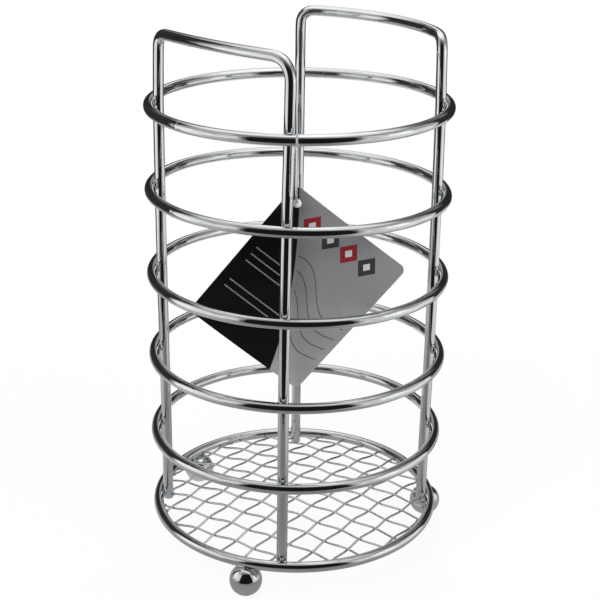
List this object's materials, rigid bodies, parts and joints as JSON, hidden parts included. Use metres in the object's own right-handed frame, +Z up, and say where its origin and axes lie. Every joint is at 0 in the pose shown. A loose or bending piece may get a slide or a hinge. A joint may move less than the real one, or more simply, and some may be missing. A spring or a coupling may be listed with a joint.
{
  "type": "wire utensil holder",
  "caption": "Open cylindrical wire holder: stacked round hoops on upright frames that rise above the rim, a woven wire floor, ball feet, and a hang tag on a loop.",
  "frame": {"origin": "on the surface the holder stands on, under the middle of its bounding box", "axes": "+Z up along the hoops' axis, -Y towards the front where the tag hangs, +X to the right of someone who faces the front"},
  "size_m": [0.117, 0.1158, 0.2018],
  "materials": {
    "chrome_wire": "bright plated wire",
    "chrome_mesh": "bright plated thin wire",
    "chrome_ball": "mirror-bright plating",
    "printed_card": "satin print, part black and part silver-grey",
    "clear_nylon": "translucent moulded nylon"
  },
  "bodies": {
    "holder": {"base_hoop": "chrome_wire", "hoop_2": "chrome_wire", "hoop_3": "chrome_wire", "hoop_4": "chrome_wire", "hoop_5": "chrome_wire", "top_hoop": "chrome_wire", "left_upright_frame": "chrome_wire", "right_upright_frame": "chrome_wire", "mesh_across_01": "chrome_mesh", "mesh_across_02": "chrome_mesh", "mesh_across_03": "chrome_mesh", "mesh_across_04": "chrome_mesh", "mesh_across_05": "chrome_mesh", "mesh_across_06": "chrome_mesh", "mesh_across_07": "chrome_mesh", "mesh_across_08": "chrome_mesh", "mesh_across_09": "chrome_mesh", "mesh_across_10": "chrome_mesh", "mesh_across_11": "chrome_mesh", "mesh_along_01": "chrome_mesh", "mesh_along_02": "chrome_mesh", "mesh_along_03": "chrome_mesh", "mesh_along_04": "chrome_mesh", "mesh_along_05": "chrome_mesh", "mesh_along_06": "chrome_mesh", "mesh_along_07": "chrome_mesh", "mesh_along_08": "chrome_mesh", "mesh_along_09": "chrome_mesh", "mesh_along_10": "chrome_mesh", "mesh_along_11": "chrome_mesh", "mesh_along_12": "chrome_mesh", "front_foot": "chrome_ball", "right_foot": "chrome_ball", "back_foot": "chrome_ball"},
    "loop": {"tag_loop": "clear_nylon"},
    "card": {"tag_card": "printed_card"}
  },
  "joints": [
    {"name": "loop_swing", "type": "hinge", "parent": "holder", "child": "loop", "pos_m": [-0.00149, -0.0544, 0.17386], "axis": [1, 0, 0], "range_deg": [0, 90]},
    {"name": "card_tip", "type": "hinge", "parent": "loop", "child": "card", "pos_m": [-0.00149, -0.0429, 0.14956], "axis": [0.997, -0.0771, 0], "range_deg": [0, 30]}
  ]
}
